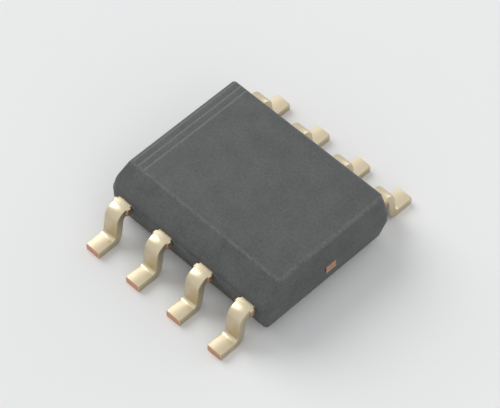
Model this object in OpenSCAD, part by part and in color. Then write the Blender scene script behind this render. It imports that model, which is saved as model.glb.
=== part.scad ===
// Eight-lead small-outline chip package with gull-wing leads.
// X runs along the two lead rows, Y across them, and Z up from the circuit board.
// The origin is on the board, under the middle of the package. Pin 1 is at -X and -Y.

/* [Moulded body] */
// Length along the lead rows, at the parting line
body_length = 4.9; // [4.8:0.05:5.2]
// Width across the lead rows, at the parting line
body_width = 3.9; // [3.8:0.02:4.0]
// Height from the underside to the top face
body_height = 1.45; // [1.35:0.01:1.6]
// Gap between the board and the underside of the body
standoff = 0.15; // [0.1:0.01:0.25]
// Draft of the sides, in degrees from the vertical
draft = 15; // [8:1:18]
// Leg of the 45 degree bevel along the side of pins 1 to 4
bevel = 0.35; // [0.25:0.01:0.5]
// Radius of the upright corners where they meet the top face
top_corner_radius = 0.05; // [0.03:0.01:0.1]
// Size of the small blunted edge around the top face
edge = 0.04; // [0.02:0.005:0.05]
// Height of the straight land above and below the leadframe
land = 0.03; // [0.02:0.005:0.05]
// How far the resin stands out between the leads, where the dam bar held it back
ledge = 0.04; // [0.02:0.005:0.06]
// Diameter of the ejector-pin mark in the underside
ejector_diameter = 1.0; // [0.6:0.05:1.4]
// Depth of the ejector-pin mark
ejector_depth = 0.03; // [0.02:0.005:0.05]

/* [Leads] */
// Distance from one lead to the next in a row
pitch = 1.27; // [1.2:0.01:1.3]
// Span over the lead tips, across the body
lead_span = 6.0; // [5.8:0.05:6.2]
// Thickness of the leadframe sheet
sheet = 0.2; // [0.15:0.01:0.25]
// Width of each lead
lead_width = 0.41; // [0.35:0.01:0.51]
// Height of the leadframe's underside above the underside of the body
frame_height = 0.62; // [0.55:0.01:0.7]
// Inside radius of both bends of a lead
bend_radius = 0.1; // [0.08:0.01:0.14]
// Lean of the leg between the bends, in degrees from the vertical
leg_lean = 8; // [4:1:15]
// Length of the foot that lies flat on the board
foot_length = 0.42; // [0.35:0.01:0.5]
// How far the trimmed dam-bar stubs stand out from the sides of a lead
dambar_stub = 0.04; // [0.02:0.005:0.06]
// Length of the dam-bar stubs along the lead
dambar_length = 0.1; // [0.06:0.01:0.14]

/* [Lead fingers inside the body] */
// Gap between the finger tips and the die pad or its tie bars
finger_gap = 0.2; // [0.15:0.01:0.25]
// Length of the widened head at each finger's tip
head_length = 0.35; // [0.3:0.01:0.4]
// Width of the heads of the middle fingers
head_width = 0.8; // [0.6:0.02:1.0]
// Diameter of the mould-locking hole in each corner finger
lock_hole = 0.2; // [0.15:0.01:0.24]

/* [Die pad] */
// Length of the die pad along the lead rows
pad_length = 2.3; // [2.1:0.05:2.4]
// Width of the die pad
pad_width = 2.1; // [1.9:0.05:2.2]
// How far the die pad is set down below the leads
downset = 0.2; // [0.15:0.01:0.25]
// Length of each tie bar's slope from the pad up to the level of the leads
tie_slope = 0.25; // [0.15:0.01:0.3]
// Width of the two tie bars that carry the pad
tie_width = 0.3; // [0.2:0.01:0.36]
// How far the cut ends of the tie bars stand out of the body's ends
tie_stub = 0.03; // [0.02:0.005:0.06]

/* [Die] */
// Length of the silicon die along the lead rows
die_length = 1.7; // [1.5:0.05:1.9]
// Width of the silicon die
die_width = 1.4; // [1.2:0.05:1.6]
// Thickness of the silicon die
die_height = 0.28; // [0.2:0.01:0.32]
// Thickness of the glue under the die
glue_height = 0.03; // [0.02:0.005:0.05]
// How far the glue spreads past the die's edges
glue_margin = 0.06; // [0.03:0.01:0.1]

/* [Bond wires] */
// Diameter of the gold wire
wire_diameter = 0.05; // [0.04:0.0025:0.055]
// Diameter of the ball where the wire starts, on the die
ball_diameter = 0.12; // [0.1:0.01:0.14]
// Height of that ball once it is pressed flat
ball_height = 0.05; // [0.04:0.005:0.06]
// Height of the wire's straight neck above the die
neck_height = 0.12; // [0.08:0.01:0.16]
// Radius of the loop's bend, at the middle of the wire
loop_radius = 0.1; // [0.07:0.01:0.14]
// Distance from the die's edge to the balls nearest to it
bond_inset = 0.12; // [0.1:0.01:0.16]
// Diameter of the flattened stitch where the wire ends, on the finger
stitch_diameter = 0.17; // [0.17:0.005:0.2]
// Thickness of that stitch
stitch_height = 0.02; // [0.015:0.001:0.025]

/* [Hidden] */
// Leads in each of the two rows
row = 4;
$fn = 48;

// Levels above the board
frame_z = standoff + frame_height;
frame_top = frame_z + sheet;
pad_z = frame_z - downset;
pad_top = pad_z + sheet;
die_z = pad_top + glue_height;
die_top = die_z + die_height;
body_top = standoff + body_height;
land_bottom = frame_z - land;
land_top = frame_top + land;

// The S-bend of a lead, followed along the middle of the sheet
mid_radius = bend_radius + sheet / 2;
leg_length = (frame_z - 2 * mid_radius * (1 - sin(leg_lean))) / cos(leg_lean);
bend_run = 2 * mid_radius * cos(leg_lean) + leg_length * sin(leg_lean);
foot_start = lead_span / 2 - foot_length;
shoulder_end = foot_start - bend_run;

// Places of the leads, fingers and bonds, in the quarter at +X and +Y
middle_x = pitch / 2;
corner_x = (row - 1) / 2 * pitch;
middle_tip = pad_width / 2 + finger_gap;
corner_tip = tie_width / 2 + finger_gap;
corner_inner = pad_length / 2 + finger_gap;
middle_bond = [middle_x, middle_tip + head_length / 2];
corner_bond = [corner_inner + head_length / 2, corner_tip + head_length / 2];
middle_ball = [die_length / 4, die_width / 2 - bond_inset];
corner_ball = [die_length / 2 - bond_inset, die_width / 4];

// Pins 1 to 4 run along -Y towards +X, and 5 to 8 come back along +Y.
function column(pin) = pin <= row ? pin - 1 : 2 * row - pin;
function is_corner(pin) = column(pin) == 0 || column(pin) == row - 1;

// Carries what is drawn in the quarter at +X and +Y to the place of a pin.
module at_pin(pin) {
    mirror([column(pin) < row / 2 ? 1 : 0, 0, 0])
        mirror([0, pin <= row ? 1 : 0, 0])
            children();
}

// ---- Moulded body ----

// One side of the body's section, from the underside up, at a given distance from the middle
function side(half) = [
    [half - (land_bottom - standoff) * tan(draft), standoff],
    [half, land_bottom],
    [half, land_top],
    [half - (body_top - edge - land_top) * tan(draft), body_top - edge],
    [half - (body_top - edge - land_top) * tan(draft) - edge, body_top]
];

module bar(length, half) {
    right = side(half);
    left = [for (i = [len(right) - 1 : -1 : 0]) [-right[i][0], right[i][1]]];
    rotate([90, 0, 90])
        translate([0, 0, -length / 2])
            linear_extrude(length)
                polygon(concat(right, left));
}

// Two crossed bars with the drafted section, and a turned piece at each upright corner
module body_shell() {
    corner = top_corner_radius + edge + (body_top - edge - land_top) * tan(draft);
    x = body_length / 2 - corner;
    y = body_width / 2 - corner;
    bar(2 * x, body_width / 2);
    rotate([0, 0, 90])
        bar(2 * y, body_length / 2);
    for (sx = [-1, 1], sy = [-1, 1])
        translate([sx * x, sy * y, 0])
            rotate_extrude()
                polygon(concat(side(corner), [[0, body_top], [0, standoff]]));
}

// The wedge that the bevel takes off the top edge beside pins 1 to 4
module bevel_cut() {
    brink = body_width / 2 - (body_top - land_top) * tan(draft);
    rotate([90, 0, 90])
        translate([0, 0, -body_length])
            linear_extrude(2 * body_length)
                polygon([
                    [bevel - brink, body_top],
                    [-brink - bevel, body_top - 2 * bevel],
                    [-brink - bevel, body_top + bevel],
                    [bevel - brink, body_top + bevel]
                ]);
}

// The strips of resin between neighbouring leads, as thick as the leadframe
module resin_ledges() {
    for (turn = [0, 180], gap = [0 : row - 2])
        rotate([0, 0, turn])
            translate([gap * pitch - corner_x + lead_width / 2, body_width / 2 - bevel, frame_z])
                cube([pitch - lead_width, bevel + ledge, sheet]);
}

module mould_body() {
    color([0.17, 0.17, 0.18])
        difference() {
            union() {
                body_shell();
                resin_ledges();
            }
            bevel_cut();
            translate([0, 0, standoff - ejector_depth])
                cylinder(h = 2 * ejector_depth, d = ejector_diameter);
            for (pin = [1 : 2 * row]) {
                lead(pin);
                bond_wire(pin);
            }
            die_pad();
            die_glue();
            die();
        }
}

// ---- Leads ----

module ring_sector(from, to) {
    reach = 2 * (bend_radius + sheet);
    middle = (from + to) / 2;
    intersection() {
        difference() {
            circle(r = bend_radius + sheet);
            circle(r = bend_radius);
        }
        polygon([
            [0, 0],
            reach * [cos(from), sin(from)],
            reach * [cos(middle), sin(middle)],
            reach * [cos(to), sin(to)]
        ]);
    }
}

// Side view of the formed lead, from the end of its shoulder to its tip: across is Y, up is Z.
module gull_wing() {
    translate([shoulder_end, frame_z - bend_radius])
        ring_sector(leg_lean, 90);
    translate([shoulder_end, frame_z - bend_radius])
        rotate(leg_lean)
            translate([bend_radius, -leg_length])
                square([sheet, leg_length]);
    translate([foot_start, bend_radius + sheet])
        ring_sector(180 + leg_lean, 270);
    translate([foot_start, 0])
        square([foot_length, sheet]);
}

// The neck of a lead seen from above, with the stubs left where the dam bar was trimmed off
module neck_plan(x, tip) {
    translate([x - lead_width / 2, tip])
        square([lead_width, shoulder_end - tip]);
    translate([x - lead_width / 2 - dambar_stub, shoulder_end - dambar_length])
        square([lead_width + 2 * dambar_stub, dambar_length]);
}

module middle_plan() {
    neck_plan(middle_x, middle_tip);
    translate([middle_x - head_width / 2, middle_tip])
        square([head_width, head_length]);
}

module corner_plan() {
    neck = corner_x - lead_width / 2;
    head_end = corner_tip + head_length;
    difference() {
        union() {
            neck_plan(corner_x, corner_tip);
            polygon([
                [corner_inner, corner_tip],
                [corner_x, corner_tip],
                [corner_x, head_end + neck - corner_inner],
                [neck, head_end + neck - corner_inner],
                [corner_inner, head_end]
            ]);
        }
        translate([corner_x, (corner_tip + body_width / 2) / 2 + lock_hole])
            circle(d = lock_hole);
    }
}

module lead(pin) {
    color([0.79, 0.74, 0.63])
        at_pin(pin) {
            translate([0, 0, frame_z])
                linear_extrude(sheet)
                    if (is_corner(pin)) corner_plan();
                    else middle_plan();
            translate([(is_corner(pin) ? corner_x : middle_x) - lead_width / 2, 0, 0])
                rotate([90, 0, 90])
                    linear_extrude(lead_width)
                        gull_wing();
        }
}

// ---- Die pad, glue and die ----

// Side view of the tie bar at +X, stepping up from the pad to the level of the leads
module tie_bar_profile() {
    start = pad_length / 2;
    end = body_length / 2 + tie_stub;
    polygon([
        [0, pad_z],
        [start, pad_z],
        [start + tie_slope, frame_z],
        [end, frame_z],
        [end, frame_top],
        [start + tie_slope, frame_top],
        [start, pad_top],
        [0, pad_top]
    ]);
}

module die_pad() {
    color([0.79, 0.74, 0.63]) {
        translate([-pad_length / 2, -pad_width / 2, pad_z])
            cube([pad_length, pad_width, sheet]);
        for (turn = [0, 180])
            rotate([0, 0, turn])
                translate([0, tie_width / 2, 0])
                    rotate([90, 0, 0])
                        linear_extrude(tie_width)
                            tie_bar_profile();
    }
}

module die_glue() {
    length = die_length + 2 * glue_margin;
    width = die_width + 2 * glue_margin;
    color([0.7, 0.7, 0.68])
        translate([-length / 2, -width / 2, pad_top])
            cube([length, width, glue_height]);
}

module die() {
    color([0.36, 0.38, 0.42])
        translate([-die_length / 2, -die_width / 2, die_z])
            cube([die_length, die_width, die_height]);
}

// ---- Bond wires ----

// A wire in the plane Y = 0, from its ball on the die at X = 0 to its stitch on a finger at X = run.
// The slope touches the loop's bend. Its angle below the horizontal, drop, is kept to a hundredth of a
// degree, so that the neck, bend and slope meet face to face.
module wire_loop(run) {
    bend_z = die_top + neck_height;
    reach = norm([run - loop_radius, bend_z - frame_top]);
    exact_drop = atan2(bend_z - frame_top, run - loop_radius) + asin(loop_radius / reach);
    drop = round(100 * exact_drop) / 100;
    slope = sqrt(reach * reach - loop_radius * loop_radius);
    overrun = wire_diameter / tan(drop);

    translate([0, 0, die_top])
        rotate_extrude() {
            intersection() {
                translate([0, ball_height / 2])
                    circle(d = ball_diameter);
                square([ball_diameter, ball_height]);
            }
            square([wire_diameter / 2, neck_height]);
        }
    difference() {
        translate([loop_radius, 0, bend_z])
            rotate([90, 0, 0])
                rotate([0, 0, 90 - drop]) {
                    rotate_extrude(angle = 90 + drop)
                        translate([loop_radius, 0])
                            circle(d = wire_diameter);
                    translate([loop_radius, 0, 0])
                        rotate([90, 0, 0])
                            cylinder(h = slope + overrun, d = wire_diameter);
                }
        translate([0, -wire_diameter, frame_top - run])
            cube([2 * run, 2 * wire_diameter, run]);
    }
    translate([run, 0, frame_top])
        cylinder(h = stitch_height, d = stitch_diameter);
}

module bond_wire(pin) {
    ball = is_corner(pin) ? corner_ball : middle_ball;
    way = (is_corner(pin) ? corner_bond : middle_bond) - ball;
    color([0.9, 0.72, 0.3])
        at_pin(pin)
            translate([ball[0], ball[1], 0])
                rotate([0, 0, atan2(way[1], way[0])])
                    wire_loop(norm(way));
}

mould_body();
for (pin = [1 : 2 * row]) {
    lead(pin);
    bond_wire(pin);
}
die_pad();
die_glue();
die();
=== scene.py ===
"""Eight-lead small-outline chip: a dark moulding with plated gull-wing leads, standing on a pale floor.

Lengths are in millimetres until they meet the mesh, where MM turns them into metres.
"""
import math

import bmesh
import bpy
from mathutils import Matrix, Vector


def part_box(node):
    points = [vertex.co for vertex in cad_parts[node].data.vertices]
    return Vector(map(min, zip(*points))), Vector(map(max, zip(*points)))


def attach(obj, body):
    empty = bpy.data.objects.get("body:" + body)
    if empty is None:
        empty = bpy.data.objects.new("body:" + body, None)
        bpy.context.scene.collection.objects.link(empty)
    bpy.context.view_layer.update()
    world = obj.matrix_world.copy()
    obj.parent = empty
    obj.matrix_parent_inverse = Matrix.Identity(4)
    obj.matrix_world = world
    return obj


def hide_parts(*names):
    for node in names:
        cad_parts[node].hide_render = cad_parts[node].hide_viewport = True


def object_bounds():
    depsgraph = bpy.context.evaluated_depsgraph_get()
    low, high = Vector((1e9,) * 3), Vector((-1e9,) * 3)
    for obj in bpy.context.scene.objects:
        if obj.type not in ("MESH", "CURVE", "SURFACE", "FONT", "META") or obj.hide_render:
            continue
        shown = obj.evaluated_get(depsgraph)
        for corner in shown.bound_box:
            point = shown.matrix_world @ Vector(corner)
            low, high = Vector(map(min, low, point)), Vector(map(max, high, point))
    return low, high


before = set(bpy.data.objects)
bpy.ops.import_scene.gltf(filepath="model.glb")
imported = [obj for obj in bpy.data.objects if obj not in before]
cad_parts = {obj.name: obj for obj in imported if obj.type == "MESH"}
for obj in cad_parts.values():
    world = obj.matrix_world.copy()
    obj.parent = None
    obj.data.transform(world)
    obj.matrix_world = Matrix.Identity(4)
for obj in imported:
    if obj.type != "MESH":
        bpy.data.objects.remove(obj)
cad_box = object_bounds()
MM = 0.001

# ---- Camera ----
# A long lens looks down at the corner between the row of pins 1 to 4 and the end beside pins 4 and 5.
# VIEW_WIDTH is how much it takes in from side to side at the chip.

AZIMUTH = math.radians(45)
ELEVATION = math.radians(53)
LENS = 200
VIEW_WIDTH = 11

low, high = cad_box
middle = (low + high) / 2
camera_data = bpy.data.cameras.new("camera")
camera_data.lens = LENS
camera = bpy.data.objects.new("camera", camera_data)
back = Vector((
    math.sin(AZIMUTH) * math.cos(ELEVATION),
    -math.cos(AZIMUTH) * math.cos(ELEVATION),
    math.sin(ELEVATION),
))
distance = VIEW_WIDTH * MM * LENS / camera_data.sensor_width
camera.location = middle + back * distance
camera.rotation_mode = "QUATERNION"
camera.rotation_quaternion = back.to_track_quat("Z", "Y")
camera_data.clip_start = distance / 100
camera_data.clip_end = distance * 20
bpy.context.scene.collection.objects.link(camera)
bpy.context.scene.camera = camera

# ---- Moulded body ----
# A transfer moulding in silica-filled epoxy. Both mould halves draft away from a land at the leadframe,
# the upper one has a bevel along the side of pins 1 to 4, and spark-eroded steel gives the matte skin.
# The top face carries three fine bars at the end of pin 1, burnt in by a laser.

DRAFT = math.radians(15)
BEVEL = 0.35
EDGE_ROUND = 0.04
CORNER_ON_TOP = 0.08
CORNER_STEPS = 8
EJECTOR_RADIUS = 0.5
EJECTOR_DEPTH = 0.03

# Round cuts have this many sides. After one, faces that meet at up to SMOOTH_TO degrees still shade as one.
PEG_SIDES = 48
SMOOTH_TO = 40

# The land is an upright band above and below the leadframe's sheet. The flash is a thread of resin on it.
LAND = 0.03
FLASH = 0.006

# The leads that come out of it stand ROW a side.
SHEET = 0.2
PITCH = 1.27
LEAD_WIDTH = 0.41
ROW = 4

# A ledge of resin between two leads stands LEDGE proud and reaches LEDGE_ROOT into the body.
LEDGE = 0.04
LEDGE_ROOT = 0.1
LEDGE_GRID = (22, 4, 7)
TEAR = Vector((0.0, 0.05, 0.02))
TEARS_PER_MM = 14

# The bars' middles are this far from the top face's edge.
BAR_PLACES = (0.07, 0.24, 0.42)
BAR_WIDTH = 0.07
RAGGED = 0.02
COMPOUND = (0.11, 0.113, 0.111, 1)
COMPOUND_DARK = (0.064, 0.068, 0.068, 1)
COMPOUND_FILLER = (0.19, 0.193, 0.19, 1)
# The next colour is a paler tone painted along the top edges as a highlight.
PAINTED_EDGE_HIGHLIGHT = (0.145, 0.149, 0.147, 1)
BAR_COLOR = (0.165, 0.17, 0.161, 1)

body_low, body_high = (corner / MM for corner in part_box("mould_body"))
frame_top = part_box("die_pad")[1].z / MM
frame_bottom = frame_top - SHEET
body_top = body_high.z
half_length = body_high.x
half_width = body_high.y - LEDGE
drawn_in = (body_top - frame_top - LAND) * math.tan(DRAFT)


class Signal:
    """A node's output in a material's or a geometry tree. Signals that are numbers take + - * and /."""

    def __init__(self, tree, socket):
        self.tree = tree
        self.socket = socket

    def node(self, kind, settings=None, inputs=None, output=0):
        """Adds a node to the tree: its settings come first, and then its sockets' values or signals."""
        made = self.tree.nodes.new(kind)
        for name, value in (settings or {}).items():
            setattr(made, name, value)
        for name, value in (inputs or {}).items():
            if isinstance(value, (Signal, list)):
                for signal in value if isinstance(value, list) else [value]:
                    self.tree.links.new(signal.socket, made.inputs[name])
            else:
                made.inputs[name].default_value = value
        return Signal(self.tree, made.outputs[output])

    def math(self, operation, *operands):
        return self.node("ShaderNodeMath", {"operation": operation}, dict(enumerate(operands)))

    def __add__(self, other):
        return self.math("ADD", self, other)

    def __sub__(self, other):
        return self.math("SUBTRACT", self, other)

    def __rsub__(self, other):
        return self.math("SUBTRACT", other, self)

    def __mul__(self, other):
        return self.math("MULTIPLY", self, other)

    def __truediv__(self, other):
        return self.math("DIVIDE", self, other)

    __radd__ = __add__
    __rmul__ = __mul__

    def between(self, start, end):
        """0 below start and 1 above end, with a soft step from one to the other."""
        settings = {"interpolation_type": "SMOOTHSTEP"}
        return self.node("ShaderNodeMapRange", settings, {"Value": self, "From Min": start, "From Max": end})

    def noise(self, scale, detail=2.0, roughness=0.5):
        """Noise whose features are about 1 / scale across, read at this vector."""
        inputs = {"Vector": self, "Scale": scale, "Detail": detail, "Roughness": roughness}
        return self.node("ShaderNodeTexNoise", None, inputs)

    def mix(self, first, second):
        """A colour between first and second, with this signal as its factor."""
        inputs = {"Factor": self, 6: first, 7: second}
        return self.node("ShaderNodeMix", {"data_type": "RGBA"}, inputs, output=2)

    def split(self):
        """A vector's three numbers."""
        made = self.node("ShaderNodeSeparateXYZ", None, {0: self}).socket.node
        return [Signal(self.tree, socket) for socket in made.outputs]


def new_material(name, metallic=0.0):
    """A material with its shader, and its place on the object in millimetres."""
    material = bpy.data.materials.new(name)
    material.use_nodes = True
    tree = material.node_tree
    shader = tree.nodes["Principled BSDF"]
    shader.inputs["Metallic"].default_value = metallic
    place = Signal(tree, tree.nodes.new("ShaderNodeTexCoord").outputs["Object"])
    place = place.node("ShaderNodeVectorMath", {"operation": "SCALE"}, {0: place, "Scale": 1 / MM})
    return material, shader, place


def wire_up(shader, **inputs):
    """Links signals to the shader's sockets, or sets their values."""
    for name, value in inputs.items():
        socket = shader.inputs[name.replace("_", " ").title()]
        if isinstance(value, Signal):
            value.tree.links.new(value.socket, socket)
        else:
            socket.default_value = value


def outline(inset):
    """The body's outline seen from above, with round corners, set in from the land by inset."""
    corner = CORNER_ON_TOP + drawn_in
    centre = Vector((half_length - corner, half_width - corner))
    points = []
    for quarter, (sx, sy) in enumerate(((1, 1), (-1, 1), (-1, -1), (1, -1))):
        for step in range(CORNER_STEPS + 1):
            turn = math.radians(90 * (quarter + step / CORNER_STEPS))
            arm = Vector((math.cos(turn), math.sin(turn))) * (corner - inset)
            points.append(Vector((sx * centre.x, sy * centre.y)) + arm)
    return points


def bridge(mesh, lower, upper):
    """Joins two rings of vertices, counted anticlockwise, with a wall that faces outwards."""
    for i, vertex in enumerate(upper):
        mesh.faces.new((lower[i - 1], lower[i], vertex, upper[i - 1]))


def finish_mesh(mesh, name, sharp=30):
    """Turns a bmesh in millimetres into a smooth-shaded object in metres, at the origin."""
    bmesh.ops.recalc_face_normals(mesh, faces=mesh.faces)
    data = bpy.data.meshes.new(name)
    mesh.to_mesh(data)
    mesh.free()
    data.transform(Matrix.Scale(MM, 4))
    return put_in_scene(data, name, sharp)


def put_in_scene(data, name, sharp=30):
    """Makes a mesh a piece of the scene, smooth up to an angle and sharp past it."""
    data.shade_smooth()
    data.set_sharp_from_angle(angle=math.radians(sharp))
    piece = bpy.data.objects.new(name, data)
    bpy.context.scene.collection.objects.link(piece)
    return piece


def bake(piece, sharp=30):
    """Replaces a piece by a plain one, with the mesh that its modifiers make."""
    graph = bpy.context.evaluated_depsgraph_get()
    data = bpy.data.meshes.new_from_object(piece.evaluated_get(graph))
    name = piece.name
    bpy.data.objects.remove(piece)
    return put_in_scene(data, name, sharp)


def peg(name, centre, radius, depth):
    """A round tool that cuts a hole, centred at a place in millimetres."""
    mesh = bmesh.new()
    bmesh.ops.create_cone(
        mesh,
        cap_ends=True,
        segments=PEG_SIDES,
        radius1=radius,
        radius2=radius,
        depth=depth,
        matrix=Matrix.Translation(centre),
    )
    return finish_mesh(mesh, name)


def combine(piece, tool, operation):
    """Cuts the tool's shape out of a piece, or unites the two into one skin."""
    step = piece.modifiers.new(tool.name, "BOOLEAN")
    step.operation = operation
    step.object = tool
    step.solver = "EXACT"
    step.use_self = True
    made = bake(piece, sharp=SMOOTH_TO)
    bpy.data.objects.remove(tool)
    return made


def body_shell():
    """The two tapered halves, the bevel, and the round mark of an ejector pin in the underside."""
    mesh = bmesh.new()
    levels = (
        (body_low.z, (frame_bottom - LAND - body_low.z) * math.tan(DRAFT)),
        (frame_bottom - LAND, 0.0),
        (frame_top + LAND, 0.0),
        (body_top, drawn_in),
    )
    rings = [[mesh.verts.new((*point, z)) for point in outline(inset)] for z, inset in levels]
    for lower, upper in zip(rings, rings[1:]):
        bridge(mesh, lower, upper)
    mesh.faces.new(rings[-1])
    mesh.faces.new(rings[0])

    brink = drawn_in - half_width
    cut = bmesh.ops.bisect_plane(
        mesh,
        geom=mesh.verts[:] + mesh.edges[:] + mesh.faces[:],
        plane_co=(0, brink + BEVEL, body_top),
        plane_no=(0, -1, 1),
        clear_outer=True,
    )
    edges = [item for item in cut["geom_cut"] if isinstance(item, bmesh.types.BMEdge)]
    bmesh.ops.edgenet_fill(mesh, edges=edges)
    piece = finish_mesh(mesh, "body_moulding")
    rounding = piece.modifiers.new("rounding", "BEVEL")
    rounding.width = EDGE_ROUND * MM
    rounding.segments = 3
    rounding.limit_method = "ANGLE"
    rounding.angle_limit = math.radians(25)
    pin = peg("ejector_pin", (0, 0, body_low.z), EJECTOR_RADIUS, 2 * EJECTOR_DEPTH)
    return combine(bake(piece), pin, "DIFFERENCE")


def new_tree(name, **inputs):
    """A Geometry Nodes tree with one geometry in and out, and its other inputs by name."""
    tree = bpy.data.node_groups.new(name, "GeometryNodeTree")
    tree.interface.new_socket("Geometry", in_out="INPUT", socket_type="NodeSocketGeometry")
    for label, kind in inputs.items():
        tree.interface.new_socket(label, in_out="INPUT", socket_type=kind)
    tree.interface.new_socket("Geometry", in_out="OUTPUT", socket_type="NodeSocketGeometry")
    entry = tree.nodes.new("NodeGroupInput")
    return tree, {socket.name: Signal(tree, socket) for socket in entry.outputs if socket.name}


def end_tree(tree, geometry):
    """Links the finished geometry to the tree's output."""
    leave = tree.nodes.new("NodeGroupOutput")
    tree.links.new(geometry.socket, leave.inputs[0])


def run_tree(piece, tree, **values):
    """Puts a tree on a piece, sets its inputs by their identifiers, and bakes the result."""
    modifier = piece.modifiers.new(tree.name, "NODES")
    modifier.node_group = tree
    for item in tree.interface.items_tree:
        if item.in_out == "INPUT" and item.name in values:
            modifier[item.identifier] = values[item.name]
    return bake(piece)


def compound():
    """Dull dark epoxy with a fine grain, paler specks of filler, the laser's bars on its top face, and a
    painted highlight along its top edges.
    """
    material, shader, place = new_material("mould_compound")
    x, y, z = place.split()
    mottle = place.noise(2.2, detail=3)
    grain = place.noise(15, detail=4, roughness=0.7)
    specks = place.noise(48, detail=1).between(0.63, 0.75)
    color = (mottle.between(0.2, 0.8) * 0.5 + grain.between(0.35, 0.65) * 0.5).mix(COMPOUND_DARK, COMPOUND)
    color = (specks * 0.6).mix(color, COMPOUND_FILLER)

    # The laser's bars are rows of overlapping spots, so their edges are ragged.
    ragged = (place.noise(28, detail=1) - 0.5) * 0.05
    top_end = drawn_in - half_length
    bars = 0.0
    for bar in BAR_PLACES:
        offset = x.math("ABSOLUTE", x + ragged - (top_end + bar))
        bars = (1 - offset.between(BAR_WIDTH / 2 - RAGGED, BAR_WIDTH / 2)) + bars
    bars = bars * z.between(body_top - 0.004, body_top - 0.002)
    color = (bars * 0.9).mix(color, BAR_COLOR)

    # A painted highlight: a paler tone along the top edges, a little along the sides and the most at the two
    # ends.
    top_side = half_width - drawn_in
    past_sides = y.math("MAXIMUM", y - top_side, BEVEL - top_side - y)
    past_ends = x.math("ABSOLUTE", x) + top_end
    past_edge = x.math("MAXIMUM", past_ends, past_sides)
    painted_edge_highlight = past_edge.between(-0.06, -0.01) * (1 - past_edge.between(0.01, 0.04))
    painted_edge_highlight = painted_edge_highlight * z.between(body_top - 0.3, body_top - 0.1)
    painted_edge_highlight = painted_edge_highlight * grain.between(0.3, 0.6) * (0.5 + past_ends.between(-0.06, -0.01) * 0.5)
    color = painted_edge_highlight.mix(color, PAINTED_EDGE_HIGHLIGHT)

    height = grain * 0.6 + mottle * 0.15 - bars * 0.4
    bump = {"Strength": 0.7, "Distance": 0.03 * MM, "Height": height}
    wire_up(
        shader,
        base_color=color,
        roughness=0.56 + grain * 0.16 + bars * 0.1 - painted_edge_highlight * 0.2,
        normal=place.node("ShaderNodeBump", None, bump),
    )
    shader.inputs["Specular IOR Level"].default_value = 0.45
    return material


compound_material = compound()


def resin_trim_tree():
    """The flash on the parting line, and the ledges of resin left rough where the dam bar was punched out."""
    floats = ("Flash", "Pitch", "Width", "Depth", "Thickness", "Face", "Level")
    sizes = {"Gaps": "NodeSocketInt"} | dict.fromkeys(floats, "NodeSocketFloat")
    tree, given = new_tree("resin_trim", **sizes, Material="NodeSocketMaterial")
    parting = given["Geometry"].node("GeometryNodeMeshToCurve", None, {"Mesh": given["Geometry"]})
    circle = {"Resolution": 4, "Radius": given["Flash"]}
    profile = parting.node("GeometryNodeCurvePrimitiveCircle", None, circle)
    flash = parting.node("GeometryNodeCurveToMesh", None, {"Curve": parting, "Profile Curve": profile})

    sides = {0: given["Width"], 1: given["Depth"], 2: given["Thickness"]}
    block = {"Size": parting.node("ShaderNodeCombineXYZ", None, sides)}
    block |= {f"Vertices {axis}": count for axis, count in zip("XYZ", LEDGE_GRID)}
    ledge = parting.node("GeometryNodeMeshCube", None, block)
    first = parting.node("ShaderNodeCombineXYZ", None, {0: (1 - given["Gaps"]) * given["Pitch"] / 2})
    step = parting.node("ShaderNodeCombineXYZ", None, {0: given["Pitch"]})
    line = {"Count": given["Gaps"], "Start Location": first, "Offset": step}
    spots = parting.node("GeometryNodeMeshLine", None, line)
    ledges = parting.node("GeometryNodeInstanceOnPoints", None, {"Points": spots, "Instance": ledge})
    rows = []
    for side in (1, -1):
        shift = parting.node("ShaderNodeCombineXYZ", None, {1: given["Face"] * side, 2: given["Level"]})
        rows.append(parting.node("GeometryNodeTransform", None, {"Geometry": ledges, "Translation": shift}))
    both = parting.node("GeometryNodeJoinGeometry", None, {0: rows})
    solid = parting.node("GeometryNodeRealizeInstances", None, {"Geometry": both})

    # The punch tears the ledges' faces in and out. Triangles are flat, so they unite cleanly with the body.
    place = parting.node("GeometryNodeInputPosition")
    noise = place.node("ShaderNodeTexNoise", None, {"Vector": place, "Scale": TEARS_PER_MM / MM}, output=1)
    scatter = noise.node("ShaderNodeVectorMath", {"operation": "SUBTRACT"}, {0: noise, 1: (0.5, 0.5, 0.5)})
    reach = {0: scatter, 1: TEAR * MM}
    scatter = scatter.node("ShaderNodeVectorMath", {"operation": "MULTIPLY"}, reach)
    rough = parting.node("GeometryNodeSetPosition", None, {"Geometry": solid, "Offset": scatter})
    trim = parting.node("GeometryNodeJoinGeometry", None, {0: [rough, flash]})
    trim = parting.node("GeometryNodeTriangulate", None, {"Mesh": trim})
    trim = parting.node("GeometryNodeRealizeInstances", None, {"Geometry": trim})
    finish = {"Geometry": trim, "Material": given["Material"]}
    end_tree(tree, trim.node("GeometryNodeSetMaterial", None, finish))
    return tree


def resin_trim():
    """The parting line's outline, turned into flash and ledges by the tree."""
    mesh = bmesh.new()
    ring = [mesh.verts.new((*point, frame_top)) for point in outline(0)]
    for i, vertex in enumerate(ring):
        mesh.edges.new((ring[i - 1], vertex))
    depth = LEDGE_ROOT + LEDGE
    return run_tree(
        finish_mesh(mesh, "resin_trim"),
        resin_trim_tree(),
        Gaps=ROW - 1,
        Flash=FLASH * MM,
        Pitch=PITCH * MM,
        Width=(PITCH - LEAD_WIDTH) * MM,
        Depth=depth * MM,
        Thickness=SHEET * MM,
        Face=(half_width + LEDGE - depth / 2) * MM,
        Level=(frame_top - SHEET / 2) * MM,
        Material=compound_material,
    )


def stand_for(piece, slot, *nodes):
    """Puts a finished piece in the place of CAD nodes."""
    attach(piece, "root")
    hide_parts(*nodes)


body = combine(body_shell(), resin_trim(), "UNION")
body.data.materials.clear()
body.data.materials.append(compound_material)
stand_for(body, "mould_compound", "mould_body")

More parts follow.
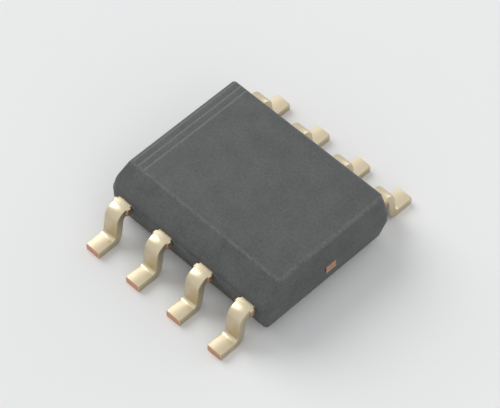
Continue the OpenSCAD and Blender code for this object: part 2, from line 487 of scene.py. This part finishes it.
# ---- Leads ----
# Each is stamped from copper-alloy sheet that is already plated, so only its sheared ends show copper.
# The blank is flat. Two bends, one after the other, then form it into a gull wing.

BEND_RADIUS = 0.1
BEND_STEPS = 14
LEG_LEAN = math.radians(8)
FOOT = 0.42

# A stub of the dam bar stands out on both sides, just before the first bend.
STUB = 0.04
STUB_LENGTH = 0.1

# Inside the resin, each lead widens to a head that stops short of the die pad and its tie bars.
FINGER_GAP = 0.2
HEAD_LENGTH = 0.35
HEAD_WIDTH = 0.8
LOCK_HOLE = 0.2
TIE_WIDTH = 0.3
PAD_LENGTH = 2.3

# The punch rolls the upper edges over and leaves a burr below. SQUARE is the run of a square step.
DIE_ROLL = 0.03
BURR = 0.008
SQUARE = 0.002
PLATING = (0.63, 0.545, 0.385, 1)
PLATING_WORN = (0.54, 0.46, 0.33, 1)
COPPER = (0.74, 0.42, 0.29, 1)
COPPER_DARK = (0.45, 0.24, 0.16, 1)

corner_x = (ROW - 1) / 2 * PITCH
tip_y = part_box("lead_8")[1].y / MM
pad_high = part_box("die_pad")[1] / MM
corner_tip = TIE_WIDTH / 2 + FINGER_GAP
mid_radius = BEND_RADIUS + SHEET / 2
bend_angle = math.pi / 2 - LEG_LEAN
leg = (frame_bottom - 2 * mid_radius * (1 - math.sin(LEG_LEAN))) / math.cos(LEG_LEAN)
bend_run = 2 * mid_radius * math.cos(LEG_LEAN) + leg * math.sin(LEG_LEAN)
first_bend = tip_y - FOOT - bend_run
second_bend = first_bend + mid_radius * bend_angle + leg
blank_end = second_bend + mid_radius * bend_angle + FOOT


def lead_stations(corner_lead):
    """The blank's edges at each place along it: how far along, and where the inner and outer edge lie."""
    middle_x = corner_x if corner_lead else PITCH / 2
    inner = middle_x - LEAD_WIDTH / 2
    outer = middle_x + LEAD_WIDTH / 2
    stub = first_bend - STUB_LENGTH
    if corner_lead:
        neck = corner_tip + HEAD_LENGTH
        head = PAD_LENGTH / 2 + FINGER_GAP
        finger = [(corner_tip, head, outer), (neck, head, outer), (neck + inner - head, inner, outer)]
    else:
        tip = pad_high.y + FINGER_GAP
        neck = tip + HEAD_LENGTH
        head = (middle_x - HEAD_WIDTH / 2, middle_x + HEAD_WIDTH / 2)
        finger = [(tip, *head), (neck, *head), (neck + SQUARE, inner, outer)]
    stubs = [
        (stub - SQUARE, inner, outer),
        (stub, inner - STUB, outer + STUB),
        (first_bend - SQUARE, inner - STUB, outer + STUB),
        (first_bend, inner, outer),
    ]
    strip = []
    for start in (first_bend, second_bend):
        for step in range(BEND_STEPS + 1):
            along = start + mid_radius * bend_angle * step / BEND_STEPS
            if along > first_bend:
                strip.append((along, inner, outer))
    return finger + stubs + strip + [(blank_end - BURR, inner, outer)]


def section(inner, outer, inset=0.0):
    """A cut across the sheet: rolled over at the top by the punch, and nearly square where the burr is."""
    points = []
    half = SHEET / 2 - inset
    corners = (
        (outer - inset, half, DIE_ROLL, 0),
        (inner + inset, half, DIE_ROLL, 1),
        (inner + inset, -half, BURR, 2),
        (outer - inset, -half, BURR, 3),
    )
    for x, z, radius, quarter in corners:
        centre = Vector((x - math.copysign(radius, x - (inner + outer) / 2), z - math.copysign(radius, z)))
        for step in range(3):
            turn = math.radians(90 * quarter + 45 * step)
            points.append(centre + radius * Vector((math.cos(turn), math.sin(turn))))
    return points


def lead_blank(name, corner_lead):
    """The flat blank. Its faces that are sheared after plating are marked as cut."""
    mesh = bmesh.new()
    cut = mesh.faces.layers.bool.new("cut")
    rings = []
    for along, inner, outer in lead_stations(corner_lead):
        rings.append([mesh.verts.new((p.x, along, p.y)) for p in section(inner, outer)])
    rings.append([mesh.verts.new((p.x, blank_end, p.y)) for p in section(inner, outer, inset=BURR)])
    for lower, upper in zip(rings, rings[1:]):
        bridge(mesh, lower, upper)
    mesh.faces.new(rings[0])
    mesh.faces.new(rings[-1])[cut] = True
    stub_inner = inner - STUB + SQUARE / 2
    stub_outer = outer + STUB - SQUARE / 2
    for face in mesh.faces:
        centre = face.calc_center_median()
        if first_bend - STUB_LENGTH < centre.y < first_bend and not stub_inner < centre.x < stub_outer:
            face[cut] = True
    flat = mesh.loops.layers.uv.new("blank")
    for face in mesh.faces:
        for loop in face.loops:
            loop[flat].uv = loop.vert.co.xy
    return finish_mesh(mesh, name)


def bend(along, height, start, radius, angle, way):
    """Where a point of the strip lies once the strip is bent from start on: way is 1 for down, -1 for up."""
    past = along - start
    turn = past.math("MINIMUM", past.math("MAXIMUM", past / radius, 0.0), angle)
    rest = past - turn * radius
    sine = turn.math("SINE", turn)
    cosine = turn.math("COSINE", turn)
    return (
        start + (height * way + radius) * sine + rest * cosine,
        height * cosine - ((1 - cosine) * radius + rest * sine) * way,
    )


def gull_wing_tree():
    """Bends the flat blank up at its foot and then down at the body, and gives it its metals."""
    floats = dict.fromkeys(("First Bend", "Second Bend", "Radius", "Angle", "Level"), "NodeSocketFloat")
    materials = dict.fromkeys(("Plating", "Bare Metal"), "NodeSocketMaterial")
    tree, given = new_tree("gull_wing", **floats, **materials)
    x, along, height = given["Geometry"].node("GeometryNodeInputPosition").split()
    for start, way in (("Second Bend", -1), ("First Bend", 1)):
        along, height = bend(along, height, given[start], given["Radius"], given["Angle"], way)
    place = x.node("ShaderNodeCombineXYZ", None, {0: x, 1: along, 2: height + given["Level"]})
    formed = x.node("GeometryNodeSetPosition", None, {"Geometry": given["Geometry"], "Position": place})
    solid = x.node("GeometryNodeRealizeInstances", None, {"Geometry": formed})
    plated = x.node("GeometryNodeSetMaterial", None, {"Geometry": solid, "Material": given["Plating"]})
    cut = x.node("GeometryNodeInputNamedAttribute", {"data_type": "BOOLEAN"}, {"Name": "cut"})
    bare = {"Geometry": plated, "Selection": cut, "Material": given["Bare Metal"]}
    end_tree(tree, x.node("GeometryNodeSetMaterial", None, bare))
    return tree


def plating():
    """Palladium and gold over the sheet, with the marks of rolling along it."""
    material, shader, place = new_material("lead_plating", metallic=1.0)
    strip = place.node("ShaderNodeUVMap", {"uv_map": "blank"})
    stretched = {0: strip, 1: (60, 3, 1)}
    stretched = strip.node("ShaderNodeVectorMath", {"operation": "MULTIPLY"}, stretched)
    rolled = stretched.noise(1.0, detail=3)
    worn = place.noise(4, detail=2).between(0.5, 0.75)
    height = rolled + place.noise(45) * 0.5
    bump = {"Strength": 0.25, "Distance": 0.006 * MM, "Height": height}
    wire_up(
        shader,
        base_color=(worn * 0.35 + rolled * 0.3).mix(PLATING, PLATING_WORN),
        roughness=0.27 + rolled * 0.12 + worn * 0.08,
        normal=place.node("ShaderNodeBump", None, bump),
    )
    return material


def bare_copper():
    """The sheared end of the sheet: a smooth upper band and a torn lower one, slightly tarnished."""
    material, shader, place = new_material("sheared_copper", metallic=1.0)
    torn = place.noise(40, detail=4, roughness=0.7)
    bump = {"Strength": 0.5, "Distance": 0.01 * MM, "Height": torn}
    wire_up(
        shader,
        base_color=torn.between(0.35, 0.65).mix(COPPER_DARK, COPPER),
        roughness=0.35 + torn * 0.25,
        normal=place.node("ShaderNodeBump", None, bump),
    )
    return material


plating_material = plating()
copper_material = bare_copper()
gull_wing = gull_wing_tree()


def punch_lock_hole(piece):
    """Makes the hole in a corner finger through which the resin flows and locks."""
    centre = (corner_x, (corner_tip + half_width) / 2 + LOCK_HOLE, frame_top - SHEET / 2)
    return combine(piece, peg("hole_punch", centre, LOCK_HOLE / 2, 2 * SHEET), "DIFFERENCE")


for pin in range(1, 2 * ROW + 1):
    column = pin - 1 if pin <= ROW else 2 * ROW - pin
    corner_lead = column in (0, ROW - 1)
    lead = run_tree(
        lead_blank(f"formed_lead_{pin}", corner_lead),
        gull_wing,
        **{"First Bend": first_bend * MM, "Second Bend": second_bend * MM},
        Radius=mid_radius * MM,
        Angle=bend_angle,
        Level=(frame_top - SHEET / 2) * MM,
        **{"Plating": plating_material, "Bare Metal": copper_material},
    )
    if corner_lead:
        lead = punch_lock_hole(lead)
    side = Vector((1 if column >= ROW / 2 else -1, 1 if pin > ROW else -1, 1))
    lead.data.transform(Matrix.Diagonal((*side, 1)))
    if side.x * side.y < 0:
        lead.data.flip_normals()
    stand_for(lead, "lead_finish", f"lead_{pin}")

# ---- Die pad ----
# The same plated sheet as the leads, pressed down between its two tie bars. Trimming leaves bare copper
# where each tie bar is cut off at the end of the body.


def pad_finish():
    """Plating over the whole pad, and copper on the cut ends of its tie bars."""
    material, shader, place = new_material("pad_plating", metallic=1.0)
    x = place.split()[0]
    past_end = x.math("ABSOLUTE", x).between(pad_high.x - 0.002, pad_high.x - 0.001)
    stretched = {0: place, 1: (3, 70, 70)}
    rolled = place.node("ShaderNodeVectorMath", {"operation": "MULTIPLY"}, stretched).noise(1.0, detail=3)
    torn = place.noise(40, detail=4, roughness=0.7)
    copper = torn.between(0.35, 0.65).mix(COPPER_DARK, COPPER)
    bump = {"Strength": 0.3, "Distance": 0.006 * MM, "Height": rolled + past_end * torn}
    wire_up(
        shader,
        base_color=past_end.mix(rolled.between(0.3, 0.8).mix(PLATING, PLATING_WORN), copper),
        roughness=0.28 + rolled * 0.12 + past_end * 0.15,
        normal=place.node("ShaderNodeBump", None, bump),
    )
    return material


pad_material = pad_finish()
for piece_slot in bpy.data.objects["die_pad"].material_slots:
    piece_slot.material = pad_material

# ---- Die glue ----
# A drop of silver-filled epoxy, dispensed as a cross and squeezed out by the die to a soft-edged film.

GLUE_SPREAD = 0.0491
GLUE_RINGS = 6
GLUE_POINTS = 96
WAVES = ((5, 1, 0.06), (11, 0, 0.04))


def glue_film():
    """Rings round the die's outline, which spread less the higher they lie. Waves make their edge uneven."""
    glue_low, glue_high = (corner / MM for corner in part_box("die_glue"))
    die_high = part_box("die")[1] / MM
    mesh = bmesh.new()

    def ring(reach, height):
        points = []
        for i in range(GLUE_POINTS):
            turn = math.tau * i / GLUE_POINTS
            wave = sum(share * math.sin(count * turn + start) for count, start, share in WAVES)
            spread = reach * (1 + wave)
            way = Vector((math.cos(turn), math.sin(turn)))
            point = way / max(abs(way.x) / die_high.x, abs(way.y) / die_high.y)
            point += Vector((math.copysign(spread, way.x), math.copysign(spread, way.y)))
            x = max(-glue_high.x, min(glue_high.x, point.x))
            y = max(-glue_high.y, min(glue_high.y, point.y))
            points.append(mesh.verts.new((x, y, height)))
        return points

    rings = []
    depth = glue_high.z - glue_low.z
    for step in range(GLUE_RINGS + 1):
        turn = math.pi / 2 * step / GLUE_RINGS
        rings.append(ring(GLUE_SPREAD * math.cos(turn), glue_low.z + depth * math.sin(turn)))
    for lower, upper in zip(rings, rings[1:]):
        bridge(mesh, lower, upper)
    mesh.faces.new(rings[0])
    mesh.faces.new(rings[-1])
    return finish_mesh(mesh, "die_glue_film")


def grey(level, warmth=0.0):
    """A grey of one level, a little redder and less blue where it is warm."""
    return (level * (1 + warmth), level, level * (1 - warmth), 1)


def silver_epoxy():
    """Silver flakes in clear resin, so it is only partly metallic."""
    material, shader, place = new_material("silver_epoxy", metallic=0.7)
    flakes = place.noise(60, detail=3, roughness=0.7)
    bump = {"Strength": 0.5, "Distance": 0.006 * MM, "Height": flakes}
    wire_up(
        shader,
        base_color=flakes.between(0.4, 0.65).mix(grey(0.38, 0.03), grey(0.62, 0.02)),
        roughness=0.32 + flakes * 0.25,
        normal=place.node("ShaderNodeBump", None, bump),
    )
    return material


glue = glue_film()
glue.data.materials.append(silver_epoxy())
stand_for(glue, "die_glue", "die_glue")

# ---- Die ----
# Sawn from a polished silicon wafer. The circuit lies under clear passivation on the top face, inside a
# seal ring, and an aluminium bond pad is open under each wire's ball.

BOND_PAD = 0.13
PAD_RISE = 0.002
SAW_EDGE = 0.008
SEAL_RING = 0.05
SAW_STREET = 0.03
RING_FADE = 0.005
TRACKS_ACROSS = 190
TRACKS_ALONG = 150
SILICON = (0.105, 0.11, 0.125, 1)
WELL = (0.2, 0.165, 0.235, 1)
TRACK = (0.34, 0.33, 0.29, 1)
METAL = (0.55, 0.53, 0.47, 1)

# How wide a bond wire's two ends are pressed. Its ball sits on a bond pad.
BALL = 0.12
STITCH = 0.17


def bond_ends(pin):
    """The middles of a wire's ball and of its stitch. The ball is the end nearer the package's middle."""
    wire_low, wire_high = (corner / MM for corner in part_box(f"bond_wire_{pin}"))
    ball, stitch = [], []
    for axis in range(2):
        near, far = sorted((wire_low[axis], wire_high[axis]), key=abs)
        way = math.copysign(1, far)
        ball.append(near + way * BALL / 2)
        stitch.append(far - way * STITCH / 2)
    return Vector((*ball, wire_low.z)), Vector((*stitch, frame_top))


def die_tree():
    """The saw-cut die with its bond pads, one at each point of the mesh that comes in."""
    floats = dict.fromkeys(("Pad Size", "Pad Rise"), "NodeSocketFloat")
    materials = dict.fromkeys(("Silicon", "Aluminium"), "NodeSocketMaterial")
    tree, given = new_tree("die_pads", Die="NodeSocketObject", **floats, **materials)
    points = given["Geometry"]
    sides = {0: given["Pad Size"], 1: given["Pad Size"], 2: given["Pad Rise"] * 2}
    size = points.node("ShaderNodeCombineXYZ", None, sides)
    square = points.node("GeometryNodeMeshCube", None, {"Size": size})
    pads = points.node("GeometryNodeInstanceOnPoints", None, {"Points": points, "Instance": square})
    pads = points.node("GeometryNodeRealizeInstances", None, {"Geometry": pads})
    pads = points.node("GeometryNodeSetMaterial", None, {"Geometry": pads, "Material": given["Aluminium"]})
    die = points.node("GeometryNodeObjectInfo", None, {"Object": given["Die"]}, output="Geometry")
    die = points.node("GeometryNodeRealizeInstances", None, {"Geometry": die})
    die = points.node("GeometryNodeSetMaterial", None, {"Geometry": die, "Material": given["Silicon"]})
    end_tree(tree, points.node("GeometryNodeJoinGeometry", None, {0: [pads, die]}))
    return tree


def silicon():
    """Blocks of circuit and rows of tracks on the top face, and plain sawn silicon on the sides."""
    material, shader, place = new_material("silicon")
    die_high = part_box("die")[1] / MM
    x, y, z = place.split()
    cells = {"Vector": place, "Scale": 3.2, "Randomness": 0.9}
    blocks = place.node("ShaderNodeTexVoronoi", {"distance": "CHEBYCHEV"}, cells, output="Color")
    block = blocks.split()[0]
    turned = block.between(0.45, 0.5)
    across = y.math("SINE", y * TRACKS_ACROSS) * (1 - turned)
    along = x.math("SINE", x * TRACKS_ALONG) * turned
    tracks = (across + along).between(0.1, 0.6)
    edge = x.math("MAXIMUM", x.math("ABSOLUTE", x) - die_high.x, y.math("ABSOLUTE", y) - die_high.y)
    street = edge.between(-SAW_STREET, RING_FADE - SAW_STREET)
    ring = edge.between(-SEAL_RING, RING_FADE - SEAL_RING) * (1 - street)
    top = z.between(die_high.z - 0.002, die_high.z - 0.001)
    circuit = (block * 0.8).mix(SILICON, WELL)
    circuit = (tracks * 0.6).mix(circuit, TRACK)
    circuit = ring.mix(circuit, METAL)
    sawn = place.noise(50, detail=3)
    bump = {"Strength": 0.3, "Distance": 0.004 * MM, "Height": tracks * top + sawn * (1 - top)}
    wire_up(
        shader,
        base_color=(top * (1 - street)).mix(SILICON, circuit),
        roughness=0.42 - top * 0.26 + sawn * 0.1,
        metallic=top * tracks * 0.6,
        normal=place.node("ShaderNodeBump", None, bump),
    )
    return material


def aluminium():
    """Soft bare metal, finely grained."""
    material, shader, place = new_material("pad_aluminium", metallic=1.0)
    grain = place.noise(80, detail=2)
    wire_up(shader, base_color=grain.mix(grey(0.6), grey(0.78)), roughness=0.25 + grain * 0.2)
    return material


def die_piece():
    """A block with its edges broken by the saw, and a point on it for each bond pad."""
    die_low, die_high = (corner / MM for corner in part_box("die"))
    mesh = bmesh.new()
    bmesh.ops.create_cube(mesh, size=1)
    bmesh.ops.scale(mesh, vec=die_high - die_low, verts=mesh.verts)
    bmesh.ops.translate(mesh, vec=(die_high + die_low) / 2, verts=mesh.verts)
    block = finish_mesh(mesh, "die_block")
    saw = block.modifiers.new("saw_edge", "BEVEL")
    saw.width = SAW_EDGE * MM
    saw.segments = 2
    block = bake(block)
    mesh = bmesh.new()
    for pin in range(1, 2 * ROW + 1):
        mesh.verts.new((*bond_ends(pin)[0].xy, die_high.z))
    piece = run_tree(
        finish_mesh(mesh, "silicon_die"),
        die_tree(),
        Die=block,
        **{"Pad Size": BOND_PAD * MM, "Pad Rise": PAD_RISE * MM},
        Silicon=silicon(),
        Aluminium=aluminium(),
    )
    bpy.data.objects.remove(block)
    return piece


stand_for(die_piece(), "silicon", "die")

# ---- Bond wires ----
# Drawn gold wire. A capillary presses a ball onto the die, rises, loops over and stitches the wire down
# on a lead's finger, where it is flattened and torn off.

WIRE = 0.05
BALL_HEIGHT = 0.05
STITCH_HEIGHT = 0.02
LOOP_STEPS = 40
WIRE_SIDES = 20
BALL_SIDES = 28
GOLD = (0.93, 0.7, 0.3, 1)
GOLD_DEEP = (0.82, 0.55, 0.2, 1)

# The loop's two handles: how high each stands, and how far along the wire's run it lies from its own end.
RISE_HEIGHT = 0.36
RISE_RUN = 0.02
FALL_HEIGHT = 0.32
FALL_RUN = 0.55


def bond_wire_tree():
    """A wire looped from Start to End, with a pressed ball at its start and a stitch at its end."""
    floats = dict.fromkeys(("Wire", "Ball", "Ball Height", "Stitch", "Stitch Height"), "NodeSocketFloat")
    vectors = dict.fromkeys(("Start", "Rise", "Fall", "End"), "NodeSocketVector")
    tree, given = new_tree("bond_wire", **floats, **vectors, Material="NodeSocketMaterial")
    start = given["Start"]
    bezier = {"Resolution": LOOP_STEPS, "Start": start, "Start Handle": given["Rise"]}
    bezier |= {"End Handle": given["Fall"], "End": given["End"]}
    loop = start.node("GeometryNodeCurvePrimitiveBezierSegment", None, bezier)
    circle = {"Resolution": WIRE_SIDES, "Radius": given["Wire"] / 2}
    profile = start.node("GeometryNodeCurvePrimitiveCircle", None, circle)
    wire = {"Curve": loop, "Profile Curve": profile, "Fill Caps": True}
    parts = [start.node("GeometryNodeCurveToMesh", None, wire)]
    for end, size, height in (("Start", "Ball", "Ball Height"), ("End", "Stitch", "Stitch Height")):
        sphere = {"Segments": BALL_SIDES, "Rings": BALL_SIDES // 2, "Radius": 0.5}
        lens = start.node("GeometryNodeMeshUVSphere", None, sphere)
        scale = start.node("ShaderNodeCombineXYZ", None, {0: given[size], 1: given[size], 2: given[height]})
        lift = start.node("ShaderNodeCombineXYZ", None, {2: given[height] / 2})
        spot = start.node("ShaderNodeVectorMath", None, {0: given[end], 1: lift})
        pressed = {"Geometry": lens, "Translation": spot, "Scale": scale}
        parts.append(start.node("GeometryNodeTransform", None, pressed))
    joined = start.node("GeometryNodeJoinGeometry", None, {0: parts})
    solid = start.node("GeometryNodeRealizeInstances", None, {"Geometry": joined})
    finish = {"Geometry": solid, "Material": given["Material"]}
    end_tree(tree, solid.node("GeometryNodeSetMaterial", None, finish))
    return tree


def gold():
    """Smooth drawn gold, with the die's faint marks."""
    material, shader, place = new_material("bond_gold", metallic=1.0)
    drawn = place.noise(60, detail=2)
    bump = {"Strength": 0.2, "Distance": 0.003 * MM, "Height": drawn}
    wire_up(
        shader,
        base_color=drawn.between(0.3, 0.7).mix(GOLD_DEEP, GOLD),
        roughness=0.16 + drawn * 0.14,
        normal=place.node("ShaderNodeBump", None, bump),
    )
    return material


gold_material = gold()
bond_tree = bond_wire_tree()
for pin in range(1, 2 * ROW + 1):
    ball, stitch = bond_ends(pin)
    run = (stitch - ball).xy.to_3d()
    empty = bpy.data.meshes.new(f"gold_wire_{pin}")
    wire = run_tree(
        put_in_scene(empty, f"gold_wire_{pin}"),
        bond_tree,
        **{"Wire": WIRE * MM, "Ball": BALL * MM, "Ball Height": BALL_HEIGHT * MM},
        **{"Stitch": STITCH * MM, "Stitch Height": STITCH_HEIGHT * MM},
        Start=ball * MM,
        Rise=(ball + run * RISE_RUN + Vector((0, 0, RISE_HEIGHT))) * MM,
        Fall=(stitch - run * FALL_RUN + Vector((0, 0, FALL_HEIGHT))) * MM,
        End=(stitch + Vector((0, 0, WIRE / 3))) * MM,
        Material=gold_material,
    )
    stand_for(wire, "bond_gold", f"bond_wire_{pin}")

# ---- Floor and light ----
# A plain pale floor under the feet, far wider than the view, and a pale sky. A large soft key light stands
# at the upper left, and two weaker ones stand at the right and behind.

FLOOR = (0.9, 0.9, 0.893, 1)
FLOOR_SIZE = 600
FLOOR_GAP = 0.002
PALE = (0.9, 0.905, 0.91, 1)
SKY = (0.96, 0.98, 1.0, 1)
SKY_LEVEL = 0.5

# Each lamp's name and place, and its level at the chip. At level 1, a lamp that is one metre away takes
# LAMP_WATTS, and the power grows with the square of the distance.
LAMP_SIZE = 1100
LAMP_WATTS = 4
LAMPS = (
    ("key", (-950, -30, 820), 1.3),
    ("fill", (900, -500, 600), 0.35),
    ("rim", (200, 1100, 500), 0.5),
)

mesh = bmesh.new()
bmesh.ops.create_grid(mesh, x_segments=1, y_segments=1, size=FLOOR_SIZE / 2)
bmesh.ops.translate(mesh, vec=(0, 0, -FLOOR_GAP), verts=mesh.verts)
floor = finish_mesh(mesh, "floor")
material, shader, place = new_material("floor")
wire_up(shader, base_color=FLOOR, roughness=0.9)

# From below, the floor is clear, and it stays clear to the light that comes back along the same path,
# so that the underside of the chip can be looked at.
below = place.node("ShaderNodeNewGeometry", output="Backfacing")
passed = place.node("ShaderNodeLightPath", output="Transparent Depth")
below = below.math("MINIMUM", below + passed, 1.0)
clear = place.node("ShaderNodeBsdfTransparent")
surface = Signal(place.tree, shader.outputs["BSDF"])
surface = below.node("ShaderNodeMixShader", None, {0: below, 1: surface, 2: clear})
place.tree.links.new(surface.socket, place.tree.nodes["Material Output"].inputs["Surface"])
floor.data.materials.append(material)

for name, spot, level in LAMPS:
    spot = Vector(spot) * MM
    data = bpy.data.lights.new(name, "AREA")
    data.shape = "DISK"
    data.size = LAMP_SIZE * MM
    data.energy = level * LAMP_WATTS * spot.length_squared
    light = bpy.data.objects.new(name, data)
    light.location = spot
    light.rotation_mode = "QUATERNION"
    light.rotation_quaternion = (spot - middle).to_track_quat("Z", "Y")
    bpy.context.scene.collection.objects.link(light)

# The lamps and a dimmer sky light the chip. What looks at the sky, straight or in a reflection, sees it pale.
world = bpy.data.worlds.new("studio")
world.use_nodes = True
sky = world.node_tree
sky.nodes.remove(sky.nodes["Background"])
rays = sky.nodes.new("ShaderNodeLightPath").outputs
straight = Signal(sky, rays["Is Camera Ray"])
glossy = Signal(sky, rays["Is Glossy Ray"])
through = Signal(sky, rays["Is Transmission Ray"])
looked_at = straight.math("MAXIMUM", straight, glossy.math("MAXIMUM", glossy, through))
lighting = looked_at.node("ShaderNodeBackground", None, {"Color": SKY, "Strength": SKY_LEVEL})
pale = looked_at.node("ShaderNodeBackground", None, {"Color": PALE, "Strength": 1.0})
mixed = looked_at.node("ShaderNodeMixShader", None, {0: looked_at, 1: lighting, 2: pale})
sky.links.new(mixed.socket, sky.nodes["World Output"].inputs["Surface"])
bpy.context.scene.world = world
bpy.context.scene.view_settings.view_transform = "Standard"
